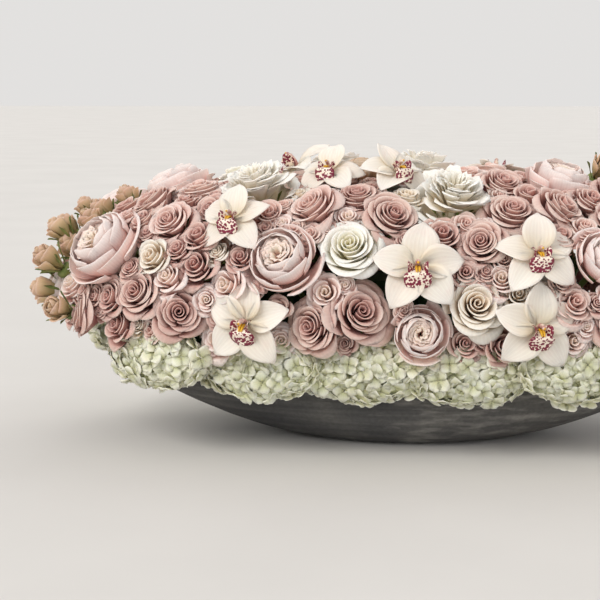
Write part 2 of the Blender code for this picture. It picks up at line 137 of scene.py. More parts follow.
class Nodes:
    """A new material and short ways to add its nodes."""

    def __init__(self, name, roughness, **constants):
        self.material = bpy.data.materials.new(name)
        self.material.use_nodes = True
        self.tree = self.material.node_tree
        self.shader = self.tree.nodes["Principled BSDF"]
        self.shader.inputs["Roughness"].default_value = roughness
        for socket, value in constants.items():
            self.shader.inputs[socket.replace("_", " ")].default_value = value
        place = self.add("ShaderNodeTexCoord")
        self.place = place.outputs["Object"]

    def add(self, kind, **settings):
        node = self.tree.nodes.new(kind)
        for name, value in settings.items():
            setattr(node, name, value)
        return node

    def join(self, source, target):
        """Link a socket to another, or set a plain value on it."""
        if isinstance(source, bpy.types.NodeSocket):
            self.tree.links.new(source, target)
        else:
            target.default_value = source

    def noise(self, scale, detail=4.0, stretch=None):
        texture = self.add("ShaderNodeTexNoise")
        texture.inputs["Scale"].default_value = scale
        texture.inputs["Detail"].default_value = detail
        source = self.place
        if stretch:
            mapping = self.add("ShaderNodeMapping")
            mapping.inputs["Scale"].default_value = stretch
            self.join(source, mapping.inputs["Vector"])
            source = mapping.outputs["Vector"]
        self.join(source, texture.inputs["Vector"])
        return texture.outputs["Fac"]

    def spots(self, scale):
        texture = self.add("ShaderNodeTexVoronoi")
        texture.inputs["Scale"].default_value = scale
        self.join(self.place, texture.inputs["Vector"])
        return texture.outputs["Distance"]

    def maths(self, operation, first, second=0.5, third=0.5):
        node = self.add("ShaderNodeMath", operation=operation)
        for value, socket in zip((first, second, third), node.inputs):
            self.join(value, socket)
        return node.outputs[0]

    def ramp(self, value, stops):
        node = self.add("ShaderNodeValToRGB")
        elements = node.color_ramp.elements
        while len(elements) < len(stops):
            elements.new(0.5)
        for element, (place, colour) in zip(elements, stops):
            element.position = place
            element.color = colour if len(colour) == 4 else (*colour, 1)
        self.join(value, node.inputs["Fac"])
        return node.outputs["Color"]

    def mix(self, share, first, second, blend="MIX"):
        node = self.add("ShaderNodeMix", data_type="RGBA", blend_type=blend)
        self.join(share, node.inputs["Factor"])
        self.join(first, node.inputs[6])
        self.join(second, node.inputs[7])
        return node.outputs[2]

    def petal(self):
        """Base-to-edge, inner-to-outer, chance and across values of the petal."""
        attribute = self.add("ShaderNodeAttribute", attribute_name="petal")
        split = self.add("ShaderNodeSeparateColor")
        self.join(attribute.outputs["Color"], split.inputs["Color"])
        return (*(split.outputs[i] for i in range(3)), attribute.outputs["Alpha"])

    def colour(self, value):
        self.join(value, self.shader.inputs["Base Color"])

    def bump(self, height, strength, distance=0.001):
        node = self.add("ShaderNodeBump")
        node.inputs["Strength"].default_value = strength
        node.inputs["Distance"].default_value = distance
        self.join(height, node.inputs["Height"])
        self.join(node.outputs["Normal"], self.shader.inputs["Normal"])


BLACK, WHITE = (0, 0, 0, 1), (1, 1, 1, 1)


def petal_material(name, base_tint_and_shade, body, lip, core, blot=None, roughness=0.58, vein=26, tones=0.25):
    """Petals: darker at the base, partly real tint and partly painted shade, light at the lip, another
    colour at the flower's core.
    """
    nodes = Nodes(name, roughness, Subsurface_Weight=0.55, Subsurface_Scale=0.005,
                  Subsurface_Radius=(1.0, 0.86, 0.78), Sheen_Weight=0.06, Sheen_Roughness=0.6,
                  Specular_IOR_Level=0.30)
    edge, outer, chance, across = nodes.petal()
    # the base colour is partly the petal's own tint and partly painted shade where petal bases sit deep
    # between other petals
    tone = nodes.ramp(edge, [(0.0, base_tint_and_shade), (0.36, base_tint_and_shade), (0.66, body), (0.95, lip)])
    inner = nodes.ramp(edge, [(0.25, base_tint_and_shade), (0.68, core), (0.98, body)])
    mixed = nodes.mix(nodes.ramp(outer, [(0.05, BLACK), (0.42, WHITE)]), inner, tone)
    patch = nodes.noise(55, 3)
    if blot:
        share = nodes.maths("MULTIPLY", nodes.ramp(patch, [(0.50, BLACK), (0.72, WHITE)]), 0.42)
        mixed = nodes.mix(share, mixed, blot)
    swing = nodes.ramp(chance, [(0.0, (0.94, 0.92, 0.915, 1)), (1.0, WHITE)])
    mixed = nodes.mix(1.0, mixed, swing, "MULTIPLY")
    drift = nodes.ramp(nodes.noise(12, 1), [(0.38, (0.90, 0.835, 0.83, 1)), (0.62, (1, 1, 0.985, 1))])
    mixed = nodes.mix(tones, mixed, drift, "MULTIPLY")
    lines = nodes.maths("SINE", nodes.maths("MULTIPLY", across, vein * 3.1))
    streak = nodes.ramp(lines, [(0.0, (0.965, 0.95, 0.95, 1)), (1.0, WHITE)])
    nodes.colour(nodes.mix(1.0, mixed, streak, "MULTIPLY"))
    grain = nodes.maths("ADD", nodes.maths("MULTIPLY", lines, 0.35), nodes.noise(420, 5))
    nodes.bump(grain, 0.22, 0.0006)
    return nodes.material


def plain_material(name, low, high, scale, roughness, stretch=None, bump=0.3):
    """Two tones broken up by noise, with a matching bump."""
    nodes = Nodes(name, roughness)
    field = nodes.noise(scale, 5, stretch)
    nodes.colour(nodes.ramp(field, [(0.32, low), (0.68, high)]))
    nodes.bump(nodes.noise(scale * 5, 5, stretch), bump)
    return nodes.material


def orchid_lip_material():
    """Cream lip with burgundy speckles that run together towards its edge."""
    nodes = Nodes("orchid_lip", 0.42, Subsurface_Weight=0.08, Subsurface_Scale=0.003)
    edge, _, _, across = nodes.petal()
    rim = nodes.maths("ABSOLUTE", nodes.maths("SUBTRACT", across, 0.5))
    near = nodes.maths("MAXIMUM", nodes.maths("MULTIPLY", rim, 1.7),
                       nodes.maths("MULTIPLY", edge, 0.8))
    dots = nodes.maths("SUBTRACT", nodes.maths("MULTIPLY", near, 0.94), nodes.spots(380))
    share = nodes.ramp(dots, [(0.02, BLACK), (0.10, WHITE)])
    nodes.colour(nodes.mix(share, srgb(246, 230, 214), srgb(120, 20, 52)))
    nodes.bump(nodes.noise(300, 4), 0.2)
    return nodes.material


def stone_material():
    """Matte cast stone: mottled dark grey with level streaks, pits and pale scuffs."""
    nodes = Nodes("bowl_stone", 0.82, Specular_IOR_Level=0.35)
    mottle = nodes.noise(9, 8)
    streaks = nodes.noise(7, 9, (0.8, 0.8, 22))
    fine = nodes.noise(260, 6)
    base = nodes.ramp(mottle, [(0.28, srgb(62, 62, 64)), (0.52, srgb(84, 83, 82)),
                               (0.78, srgb(108, 106, 102))])
    lines = nodes.ramp(streaks, [(0.34, (0.70, 0.70, 0.71, 1)), (0.52, WHITE),
                                 (0.66, (1.34, 1.33, 1.30, 1))])
    stone = nodes.mix(0.85, base, lines, "MULTIPLY")
    dust = nodes.ramp(nodes.maths("MULTIPLY", nodes.noise(30, 9, (1, 1, 5)), nodes.noise(6, 4)),
                      [(0.30, BLACK), (0.42, WHITE)])
    stone = nodes.mix(nodes.maths("MULTIPLY", dust, 0.48), stone, srgb(150, 147, 142))
    grains = nodes.ramp(fine, [(0.30, (0.80, 0.80, 0.80, 1)), (0.65, (1.1, 1.1, 1.1, 1))])
    nodes.colour(nodes.mix(0.7, stone, grains, "MULTIPLY"))
    pits = nodes.ramp(nodes.spots(240), [(0.06, BLACK), (0.20, WHITE)])
    relief = nodes.maths("ADD", nodes.maths("MULTIPLY", fine, 0.6), nodes.maths("MULTIPLY", pits, 0.35))
    relief = nodes.maths("ADD", relief, nodes.maths("MULTIPLY", streaks, 1.2))
    nodes.bump(relief, 0.55, 0.0012)
    matte = nodes.ramp(mottle, [(0.3, (0.72,) * 3), (0.7, (0.90,) * 3)])
    nodes.join(matte, nodes.shader.inputs["Roughness"])
    return nodes.material


# each petal material's first colour is its base: partly real tint, partly painted shade of the flower's
# depths
MATERIALS = {
    "rose_mauve": petal_material(
        "rose_mauve", srgb(158, 102, 98), srgb(213, 174, 165), srgb(237, 214, 203),
        srgb(190, 140, 134), srgb(192, 150, 142), tones=1.0),
    "rose_pink": petal_material(
        "rose_pink", srgb(206, 150, 142), srgb(234, 200, 190), srgb(246, 226, 217),
        srgb(222, 176, 166), srgb(216, 172, 162), tones=1.0),
    "rose_cream": petal_material(
        "rose_cream", srgb(232, 206, 172), srgb(246, 234, 214), srgb(252, 246, 234),
        srgb(240, 214, 186)),
    "rose_white": petal_material(
        "rose_white", srgb(250, 244, 204), srgb(253, 251, 236), srgb(255, 254, 247),
        srgb(250, 245, 202)),
    "peony_blush": petal_material(
        "peony_blush", srgb(242, 194, 184), srgb(250, 218, 209), srgb(254, 239, 232),
        srgb(255, 241, 219), roughness=0.62, vein=34),
    "peony_white": petal_material(
        "peony_white", srgb(252, 236, 204), srgb(255, 250, 236), srgb(255, 254, 247),
        srgb(255, 245, 216), roughness=0.62, vein=34),
    "ranunculus_tan": petal_material(
        "ranunculus_tan", srgb(156, 110, 80), srgb(208, 170, 134), srgb(230, 202, 172),
        srgb(176, 128, 92)),
    "bud_tan": petal_material(
        "bud_tan", srgb(158, 142, 92), srgb(212, 178, 140), srgb(224, 184, 164),
        srgb(198, 158, 122), srgb(210, 160, 146)),
    "orchid": petal_material(
        "orchid", srgb(228, 214, 184), srgb(243, 233, 218), srgb(249, 241, 229),
        srgb(240, 230, 212), srgb(243, 220, 210), roughness=0.42, vein=18),
    "hydrangea": petal_material(
        "hydrangea", srgb(216, 218, 166), srgb(237, 239, 206), srgb(249, 250, 230),
        srgb(226, 224, 180), srgb(226, 226, 174), roughness=0.62, vein=12),
    "lip": orchid_lip_material(),
    "callus": plain_material("orchid_callus", srgb(208, 150, 20), srgb(236, 190, 50), 300, 0.4),
    "column": plain_material("orchid_column", srgb(170, 96, 100), srgb(240, 222, 200), 160, 0.4),
    "stem": plain_material("green_stem", srgb(74, 96, 44), srgb(116, 136, 66), 60, 0.55, (1, 1, 0.2)),
    "sepal": plain_material("green_sepal", srgb(92, 110, 52), srgb(150, 158, 92), 90, 0.55),
    "heart": plain_material("green_heart", srgb(140, 152, 96), srgb(182, 190, 138), 120, 0.7),
    "stone": stone_material(),
}


# ---------------------------------------------------------------- meshes

class Piece:
    """Points, faces, per-point petal values and material numbers, gathered into one mesh."""

    def __init__(self, name):
        self.name = name
        self.points, self.values, self.faces = [], [], []
        self.count = 0
        self.materials = []

    def add(self, points, faces, material, values=None):
        """Points (n, 3) in the row frame and their faces (m, 3 or 4)."""
        if material not in self.materials:
            self.materials.append(material)
        if values is None:
            values = np.full((len(points), 4), 0.5)
        self.points.append(points)
        self.values.append(values)
        self.faces.append((np.asarray(faces) + self.count, self.materials.index(material)))
        self.count += len(points)

    def build(self, slot, *nodes):
        """Make the mesh in place of CAD nodes; the slot argument is not used."""
        points = np.concatenate(self.points)
        mesh = bpy.data.meshes.new(self.name)
        sizes = np.concatenate([np.full(len(f), f.shape[1]) for f, _ in self.faces])
        corners = np.concatenate([f.ravel() for f, _ in self.faces])
        mesh.vertices.add(len(points))
        mesh.vertices.foreach_set("co", points.astype(np.float32).ravel())
        mesh.loops.add(len(corners))
        mesh.loops.foreach_set("vertex_index", corners.astype(np.int32))
        mesh.polygons.add(len(sizes))
        starts = np.concatenate([[0], np.cumsum(sizes)[:-1]])
        mesh.polygons.foreach_set("loop_start", starts.astype(np.int32))
        mesh.polygons.foreach_set("material_index", np.concatenate(
            [np.full(len(f), kind) for f, kind in self.faces]).astype(np.int32))
        for material in self.materials:
            mesh.materials.append(MATERIALS[material])
        mesh.update(calc_edges=True)
        attribute = mesh.attributes.new("petal", "FLOAT_COLOR", "POINT")
        attribute.data.foreach_set("color", np.concatenate(self.values).astype(np.float32).ravel())
        mesh.validate()
        mesh.shade_smooth()
        thing = bpy.data.objects.new(self.name, mesh)
        bpy.context.scene.collection.objects.link(thing)
        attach(thing, "root")
        if nodes:
            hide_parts(*nodes)


def shell_faces(rows, columns):
    """Faces of a thin closed petal: two grids of points, front then back, and its rim."""
    index = np.arange(rows * columns).reshape(rows, columns)
    quads = np.stack([index[:-1, :-1], index[:-1, 1:], index[1:, 1:], index[1:, :-1]], -1).reshape(-1, 4)
    border = np.concatenate([index[0, :], index[1:, -1], index[-1, -2::-1], index[-2:0:-1, 0]])
    after = np.roll(border, -1)
    rim = np.stack([after, border, border + rows * columns, after + rows * columns], -1)
    return np.concatenate([quads, quads[:, ::-1] + rows * columns, rim])


def shells(grid, thickness):
    """Thin closed petals from grids (petal, row, column, 3): points and faces."""
    count, rows, columns, _ = grid.shape
    along = np.gradient(grid, axis=1)
    across = np.gradient(grid, axis=2)
    normal = np.cross(across, along)
    normal /= np.linalg.norm(normal, axis=-1, keepdims=True) + 1e-12
    row = np.linspace(0, 1, rows)[:, None]
    column = np.abs(np.linspace(-1, 1, columns))[None, :]
    thin = np.minimum(1, 0.45 + 3 * np.minimum(1 - row, 1 - column))[None, :, :, None]
    front = grid + normal * thickness / 2 * thin
    back = grid - normal * thickness / 2 * thin
    points = np.concatenate([front.reshape(count, -1, 3), back.reshape(count, -1, 3)], 1)
    faces = shell_faces(rows, columns)[None] + (np.arange(count) * 2 * rows * columns)[:, None, None]
    return points.reshape(-1, 3), faces.reshape(-1, 4)


def petal_values(v, outer, chance, u):
    """Values of every point: base to edge, inner to outer, chance, across."""
    count, rows, columns = np.broadcast_shapes(v.shape, outer.shape, chance.shape, u.shape)
    parts = [np.broadcast_to(part, (count, rows, columns)) for part in (v, outer, chance, u * 0.5 + 0.5)]
    values = np.stack(parts, -1).reshape(count, -1, 4)
    return np.concatenate([values, values], 1).reshape(-1, 4)


def smooth(low, high, x):
    """0 below low, 1 above high and an eased step between."""
    x = np.clip((x - low) / (high - low), 0, 1)
    return x * x * (3 - 2 * x)


def place(points, head, spin=0.0):
    """Unit points of a flower, moved to its head and turned about its axis."""
    side = head["side"] * math.cos(spin) + head["over"] * math.sin(spin)
    over = head["over"] * math.cos(spin) - head["side"] * math.sin(spin)
    turn = np.stack([side, over, head["axis"]], 0)
    return head["centre"] + (points * head["radius"]) @ turn


def cup(piece, head, material, k, turn, width, rim, belly, top, curl, fall, drop, pinch, tuck, ruffle,
        rng, rows=9, columns=9, base=-0.60, waves=2.0, point=2.2, notch=0.0, thickness=PETAL):
    """Petals wrapped round the flower's axis, one for each entry of the arrays, in unit radii."""
    u = np.linspace(-1, 1, columns)[None, None, :]
    v = (1 - (1 - np.linspace(0, 1, rows)) ** 1.35)[None, :, None]
    chance = rng.random(len(k))[:, None, None]
    phase = rng.random(len(k))[:, None, None] * math.tau
    a = [np.broadcast_to(np.asarray(x, float), (len(k),))[:, None, None]
         for x in (k, turn, width, rim, belly, top, curl, fall, drop, pinch, tuck, ruffle)]
    k, turn, width, rim, belly, top, curl, fall, drop, pinch, tuck, ruffle = a
    edge = 1 - drop * np.abs(u) ** point - notch * np.exp(-(u / 0.16) ** 2)
    t = v * edge
    lip = smooth(0.60, 1.0, t)
    wave = np.sin(waves * math.pi * u + phase) * np.abs(u) ** 0.5
    wave = wave + 0.5 * np.sin(waves * 2.3 * u + phase * 2)
    radius = rim * (1 - (1 - t) ** belly) * (1 + tuck * u) * (1 - pinch * t ** 3)
    radius = radius + 0.03 + curl * lip ** 1.6 * (1 - 0.25 * u ** 2) + 0.45 * curl * np.abs(u) ** 3 * lip
    radius = radius + ruffle * wave * lip
    height = base + (top - base) * (1 - (1 - t) ** 1.45) - fall * lip ** 2.2 + 0.6 * ruffle * wave * lip
    angle = turn + width * u * (0.42 + 0.58 * np.minimum(1, t / 0.45)) + 0.05 * np.sin(phase + 3 * t)
    grid = np.stack([radius * np.cos(angle), radius * np.sin(angle), height], -1)
    points, faces = shells(place(grid.reshape(-1, 3), head).reshape(grid.shape), thickness)
    piece.add(points, faces, material, petal_values(t, k, chance, u))


def turned(piece, head, material, outline, sides=12):
    """A small closed turned body on the flower's axis from (radius, height) in unit radii."""
    angle = np.linspace(0, math.tau, sides, endpoint=False)
    rings = [np.stack([r * np.cos(angle), r * np.sin(angle), np.full(sides, z)], -1)
             for r, z in outline[1:-1]]
    points = np.concatenate([[[0, 0, outline[0][1]]], *rings, [[0, 0, outline[-1][1]]]])
    index = np.arange(sides)
    after = np.roll(index, -1)
    start = [np.stack([np.zeros(sides, int), 1 + index, 1 + after], -1)]
    last = 1 + (len(rings) - 1) * sides
    end = [np.stack([np.full(sides, len(points) - 1), last + after, last + index], -1)]
    quads = [np.stack([1 + n * sides + index, 1 + (n + 1) * sides + index,
                       1 + (n + 1) * sides + after, 1 + n * sides + after], -1)
             for n in range(len(rings) - 1)]
    placed = place(points, head)
    triangles = np.concatenate(start + end)
    piece.add(placed, triangles, material)
    if quads:
        piece.add(placed, np.concatenate(quads), material)


def calyx(piece, head, spread=0.42):
    """Green cup under the petals and five narrow sepals."""
    turned(piece, head, "sepal", [(0, -0.46), (0.20, -0.50), (0.26, -0.66), (0.17, -0.82),
                                  (0.09, -0.90), (0, -0.92)])
    rng = np.random.default_rng(7)
    five = np.arange(5)
    cup(piece, head, "sepal", five / 5, five * math.tau / 5, 0.26, spread, 2.2, 0.10, 0.10, 0.10, 0.9, 0.0,
        0.0, 0.01, rng, rows=6, columns=5, base=-0.78, point=1.0)


# ---------------------------------------------------------------- flowers

def rose(piece, head, material, rng, petals=25, rows=10):
    """Spiral of cupped petals, tight in the middle, with lips that roll back further out."""
    i = np.arange(petals)
    k = i / (petals - 1)
    turn = i * GOLDEN + rng.normal(0, 0.26, petals)
    width = (0.80 + 1.00 * (1 - k) ** 2.4) * rng.uniform(0.86, 1.12, petals)
    rim = (0.020 + 0.825 * k ** 0.92) * rng.uniform(0.96, 1.035, petals)
    top = 0.60 - 0.36 * k ** 2.0 - 0.05 * np.exp(-(k / 0.08) ** 2) + rng.normal(0, 0.026, petals)
    loose = smooth(0.76, 1.0, k)
    curl = (0.020 + 0.150 * k ** 0.75 + 0.04 * loose) * rng.uniform(0.75, 1.25, petals)
    fall = (0.020 + 0.15 * k ** 1.1 + 0.15 * loose) * rng.uniform(0.6, 1.5, petals)
    cup(piece, head, material, k, turn, width, rim, 2.4, top, curl, fall, 0.22 + 0.08 * k,
        0.46 * (1 - smooth(0.0, 0.34, k)), rng.uniform(0.0, 0.10, petals) + 0.16 * (1 - k) ** 3,
        0.010 + 0.018 * k, rng, rows=rows, columns=rows, waves=1.1, point=1.45, thickness=ROSE_PETAL)
    calyx(piece, head)


def peony(piece, head, material, rng):
    """Broad cupped guard petals round a ruffled core."""
    count = 17
    k = np.arange(count) / (count - 1)
    turn = np.arange(count) * GOLDEN + rng.normal(0, 0.1, count)
    cup(piece, head, material, 0.45 + 0.55 * k, turn, 0.74 + 0.10 * (1 - k), 0.52 + 0.42 * k, 2.7,
        0.72 - 0.42 * k ** 1.6, 0.0 + 0.10 * k ** 3, 0.0 + 0.14 * k ** 3, 0.16, 0.34 * (1 - k) + 0.06,
        0.05, 0.016, rng, rows=10, columns=10, waves=2.6, point=2.6, notch=0.03, base=-0.58)
    count = 30
    k = (np.arange(count) + 0.5) / count
    turn = np.arange(count) * GOLDEN + rng.normal(0, 0.3, count)
    cup(piece, head, material, 0.30 * k, turn, 0.70, 0.03 + 0.47 * k ** 0.8, 1.7,
        0.68 - 0.12 * k + rng.normal(0, 0.03, count), 0.075, 0.06, 0.24, 0.20, 0.12, 0.035, rng,
        rows=8, columns=8, waves=2.6, point=1.8, notch=0.06, base=0.05, thickness=PEONY_CORE)
    calyx(piece, head)


def ragged(piece, head, material, rng):
    """White double peony: many narrow frilled petals."""
    count = 12
    k = np.arange(count) / (count - 1)
    cup(piece, head, material, np.full(count, 0.95), np.arange(count) * GOLDEN, 0.62, 0.80 + 0.14 * k, 2.4,
        0.22 - 0.16 * k, 0.12, 0.12, 0.18, 0.0, 0.05, 0.02, rng, rows=9, columns=9, waves=2.4,
        point=2.4, notch=0.04)
    count = 62
    k = (np.arange(count) + 0.5) / count
    turn = np.arange(count) * GOLDEN + rng.normal(0, 0.35, count)
    cup(piece, head, material, 0.25 + 0.55 * k, turn, 0.46, 0.04 + 0.76 * k ** 0.75, 1.5,
        0.80 - 0.42 * k ** 2.2 + rng.normal(0, 0.045, count), 0.08, 0.07, 0.28,
        0.10 + rng.normal(0, 0.10, count), 0.14, 0.045, rng, rows=8, columns=8, waves=2.8, point=1.7,
        notch=0.08, base=-0.20, thickness=RAGGED_CORE)
    calyx(piece, head)


def ranunculus(piece, head, material, rng, petals=40):
    """Many thin round petals, one inside another."""
    k = np.arange(petals) / (petals - 1)
    turn = np.arange(petals) * GOLDEN + rng.normal(0, 0.1, petals)
    cup(piece, head, material, k, turn, 0.70 + 0.5 * (1 - k), 0.06 + 0.86 * k, 2.6,
        0.52 - 0.34 * k ** 2, 0.01 + 0.05 * k ** 2, 0.01 + 0.05 * k ** 2, 0.14,
        0.34 * (1 - k ** 2) + 0.04, 0.04, 0.012, rng, rows=8, columns=8, waves=1.5, point=2.6)
    calyx(piece, head)


def bud(piece, head, material, rng):
    """Pointed bud: wrapped petals, a couple of lips turning back, and green sepals below."""
    count = 11
    k = np.arange(count) / (count - 1)
    turn = np.arange(count) * GOLDEN + rng.normal(0, 0.1, count)
    cup(piece, head, material, k, turn, 0.72 + 0.9 * (1 - k), 0.26 + 0.62 * k, 2.5,
        1.18 - 0.42 * k ** 1.5, 0.02 + 0.12 * k ** 2, 0.02 + 0.16 * k ** 2, 0.28, 0.62 - 0.50 * k ** 1.4,
        0.12, 0.012, rng, rows=9, columns=9, waves=1.0, point=1.8, base=-0.86)
    turned(piece, head, "sepal", [(0, -0.70), (0.46, -0.76), (0.50, -0.98), (0.30, -1.22),
                                  (0.14, -1.32), (0, -1.34)])
    five = np.arange(5)
    cup(piece, head, "sepal", five / 5, five * math.tau / 5 + 0.3, 0.24, 0.92, 2.2, 0.50, 0.16, 0.20, 0.95,
        0.0, 0.0, 0.02, rng, rows=8, columns=5, base=-1.0, point=1.0)


def tepal(length, half, lift, bend, cupping, rng, rows=13, columns=9):
    """One long orchid petal along +X from the flower's middle."""
    s = np.linspace(0, 1, rows)[:, None]
    u = np.linspace(-1, 1, columns)[None, :]
    outline = np.sin(math.pi * np.clip(s, 0, 1) ** 0.84 * 0.975 + 0.03) ** 0.62
    spread = half * np.maximum(outline, 0.05 + 0.16 * (1 - s))
    wave = 0.012 * np.sin(5 * s + 2.2 * u + rng.random() * 6)
    x = 0.06 + (length - 0.06) * s - 0.04 * (u ** 2) * s
    z = lift * s - bend * s ** 2.2 + cupping * (u ** 2) * outline + wave
    crease = -0.018 * np.exp(-(u / 0.18) ** 2) * outline
    return np.stack(np.broadcast_arrays(x, spread * u, z + crease), -1), s, u


def orchid(piece, head, material, rng):
    """Cymbidium: three sepals, two petals, a speckled three-lobed lip and the column."""
    parts = [(90, 1.04, 0.40, 0.36, 0.30), (20, 1.02, 0.36, 0.20, 0.26), (160, 1.02, 0.36, 0.20, 0.26),
             (-44, 1.04, 0.40, 0.16, 0.34), (-136, 1.04, 0.40, 0.16, 0.34)]
    for degrees, length, half, lift, bend in parts:
        turn = math.radians(degrees + rng.normal(0, 6))
        grid, s, u = tepal(length * rng.uniform(0.94, 1.03), half, lift + rng.normal(0, 0.08),
                           bend + rng.normal(0, 0.06), rng.uniform(0.02, 0.14), rng)
        roll = rng.normal(0, 0.22) * s
        across = grid[..., 1].copy()
        grid[..., 1] = across * np.cos(roll)
        grid[..., 2] += across * np.sin(roll)
        x = grid[..., 0] * math.cos(turn) - grid[..., 1] * math.sin(turn)
        y = grid[..., 0] * math.sin(turn) + grid[..., 1] * math.cos(turn)
        grid = np.stack([x, y, grid[..., 2]], -1)
        points, faces = shells(place(grid.reshape(-1, 3), head).reshape(1, *grid.shape), ORCHID_PETAL)
        values = petal_values(0.35 + 0.65 * s[None], np.full((1, 1, 1), 1.0),
                              np.full((1, 1, 1), rng.random()), u[None])
        piece.add(points, faces, material, values)
    s = np.linspace(0, 1, 14)[:, None]
    u = np.linspace(-1, 1, 13)[None, :]
    half = 0.09 + 0.20 * smooth(0.25, 0.70, s) * (1 - 0.45 * smooth(0.80, 1.0, s))
    frill = 0.022 * np.sin(7 * u + 4 * s) * smooth(0.45, 0.9, s) * np.abs(u) ** 2
    y = -0.03 - 0.40 * s ** 1.1 - 0.07 * smooth(0.7, 1, s) + 0.03 * u ** 2
    z = 0.10 + 0.22 * np.sin(math.pi * np.minimum(s * 1.15, 1.0) * 0.55)
    z = z - 0.24 * smooth(0.55, 1.0, s) + frill
    middle = np.stack(np.broadcast_arrays(half * u, y, z - 0.06 * u ** 2 * s), -1)
    lobes = [middle]
    for sign in (-1, 1):
        s2 = np.linspace(0, 1, 9)[:, None]
        u2 = np.linspace(-1, 1, 9)[None, :]
        reach = 0.25 * np.sqrt(np.maximum(1 - (np.abs(u2) ** 2.4) * 0.85, 0.05))
        x = sign * (0.065 + 0.10 * s2 + 0.04 * s2 ** 2)
        y = -0.08 + 0.14 * u2 * (0.8 + 0.2 * s2)
        lobes.append(np.stack(np.broadcast_arrays(x, y, 0.08 + reach * s2 * 1.35), -1))
    for number, grid in enumerate(lobes):
        rows, columns, _ = grid.shape
        points, faces = shells(place(grid.reshape(-1, 3), head).reshape(1, *grid.shape), ORCHID_LIP)
        v = np.linspace(0.0, 1.0, rows)[None, :, None]
        v = v if number == 0 else 0.45 + 0.55 * v
        across = np.linspace(-1, 1, columns)[None, None, :] * (1 if number == 0 else 0.9)
        values = petal_values(v, np.ones((1, 1, 1)), np.full((1, 1, 1), 0.5), across)
        piece.add(points, faces, "lip", values)
    for sign in (-1, 1):
        ridge = [(sign * 0.030, -0.03, 0.16), (sign * 0.034, -0.12, 0.285), (sign * 0.026, -0.20, 0.315)]
        tube(piece, head, "callus", ridge, [0.026, 0.030, 0.016])
    tube(piece, head, "column", [(0, 0.03, 0.02), (0, 0.05, 0.18), (0, 0.02, 0.32), (0, -0.03, 0.40)],
         [0.060, 0.052, 0.056, 0.046])
    tube(piece, head, "callus", [(0, -0.022, 0.385), (0, -0.045, 0.425)], [0.040, 0.026])


def tube(piece, head, material, path, radii, sides=8):
    """Rounded closed tube through unit points, with domed ends."""
    path = np.array(path, float)
    tangent = np.gradient(path, axis=0)
    tangent /= np.linalg.norm(tangent, axis=1, keepdims=True)
    rings = [(path[0] - tangent[0] * radii[0] * 0.7, radii[0] * 0.45, tangent[0])]
    rings += [(p, r, t) for p, r, t in zip(path, radii, tangent)]
    rings.append((path[-1] + tangent[-1] * radii[-1] * 0.7, radii[-1] * 0.45, tangent[-1]))
    angle = np.linspace(0, math.tau, sides, endpoint=False)[:, None]
    points = []
    for middle, radius, direction in rings:
        side = np.cross(direction, (0.31, 0.22, 0.93) if abs(direction[2]) < 0.9 else (1.0, 0.1, 0.2))
        side /= np.linalg.norm(side)
        points.append(middle + radius * (np.cos(angle) * side + np.sin(angle) * np.cross(direction, side)))
    placed = place(np.concatenate(points), head)
    index = np.arange(sides)
    after = np.roll(index, -1)
    quads = [np.stack([n * sides + index, n * sides + after,
                       (n + 1) * sides + after, (n + 1) * sides + index], -1)
             for n in range(len(rings) - 1)]
    piece.add(placed, np.concatenate(quads), material)
    top = (len(rings) - 1) * sides
    fans = [(0, n + 1, n) for n in range(1, sides - 1)]
    fans += [(top, top + n, top + n + 1) for n in range(1, sides - 1)]
    piece.add(placed, np.array(fans), material)


def florets(piece, spots, normals, radii, material, rng):
    """Hydrangea florets: four round petals each, turned at random about their normals."""
    columns = rows = 5
    u = np.linspace(-1, 1, columns)[None, :]
    s = np.linspace(0, 1, rows)[:, None]
    half = 0.50 * np.sin(math.pi * (0.10 + 0.80 * s ** 0.8)) ** 0.6
    base = np.stack(np.broadcast_arrays(0.06 + 0.94 * s * (1 - 0.10 * u ** 2), half * u,
                                        0.16 * s + 0.10 * u ** 2 * s - 0.20 * s ** 3), -1)
    for spot, normal, radius in zip(spots, normals, radii):
        tilt = normal + rng.normal(0, 0.22, 3)
        tilt /= np.linalg.norm(tilt)
        side = np.cross((0.2, 0.3, 1.0) if abs(tilt[2]) < 0.9 else (1.0, 0.2, 0.1), tilt)
        side /= np.linalg.norm(side)
        over = np.cross(tilt, side)
        spin = rng.random() * math.tau
        grids = []
        for quarter in range(4):
            a = spin + quarter * math.pi / 2 + rng.normal(0, 0.08)
            grid = base * rng.uniform(0.90, 1.08)
            grid = grid + np.array([0, 0, 1]) * (0.05 * np.sin(3 * u + spin * 3)[..., None] * s[..., None])
            x = grid[..., 0] * math.cos(a) - grid[..., 1] * math.sin(a)
            y = grid[..., 0] * math.sin(a) + grid[..., 1] * math.cos(a)
            turned_grid = x[..., None] * side + y[..., None] * over + grid[..., 2:3] * tilt
            grids.append(spot + radius * turned_grid)
        points, faces = shells(np.stack(grids), FLORET_PETAL)
        values = petal_values(0.25 + 0.75 * np.broadcast_to(s, (rows, columns))[None], np.ones((1, 1, 1)),
                              rng.random((4, 1, 1)), u[None])
        piece.add(points, faces, material, values)


